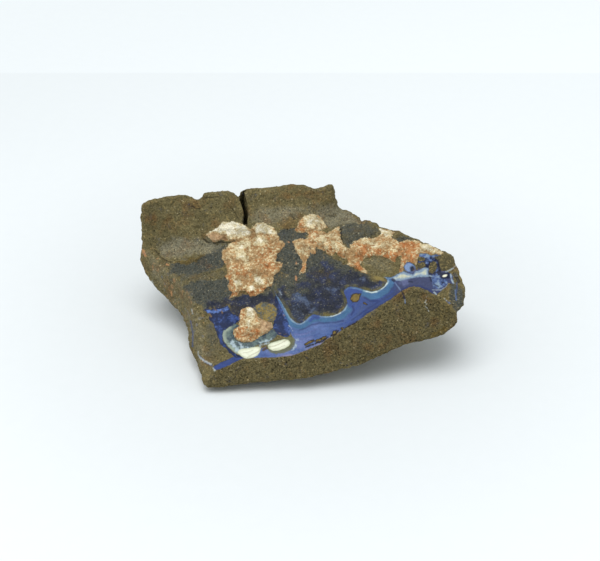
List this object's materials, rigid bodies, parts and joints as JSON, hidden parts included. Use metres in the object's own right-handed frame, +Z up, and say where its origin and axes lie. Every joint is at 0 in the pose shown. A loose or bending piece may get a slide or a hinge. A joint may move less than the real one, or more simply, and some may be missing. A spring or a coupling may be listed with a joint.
{
  "type": "boulder opal specimen",
  "caption": "Rough boulder opal: brown ironstone whose sawn front shows a scalloped blue opal seam, with pale clay patches on top and a cracked ridge behind; it lies on a flat underside.",
  "frame": {"origin": "under the middle of the stone's box, on the surface it rests on", "axes": "+X along the stone's length towards its narrow right end, +Y from the sawn front towards the back ridge, +Z up"},
  "size_m": [0.09, 0.0564, 0.037],
  "materials": {
    "ironstone": "rough broken stone, finer on the sawn front"
  },
  "bodies": {
    "root": {"boulder_opal": "ironstone"}
  },
  "joints": []
}
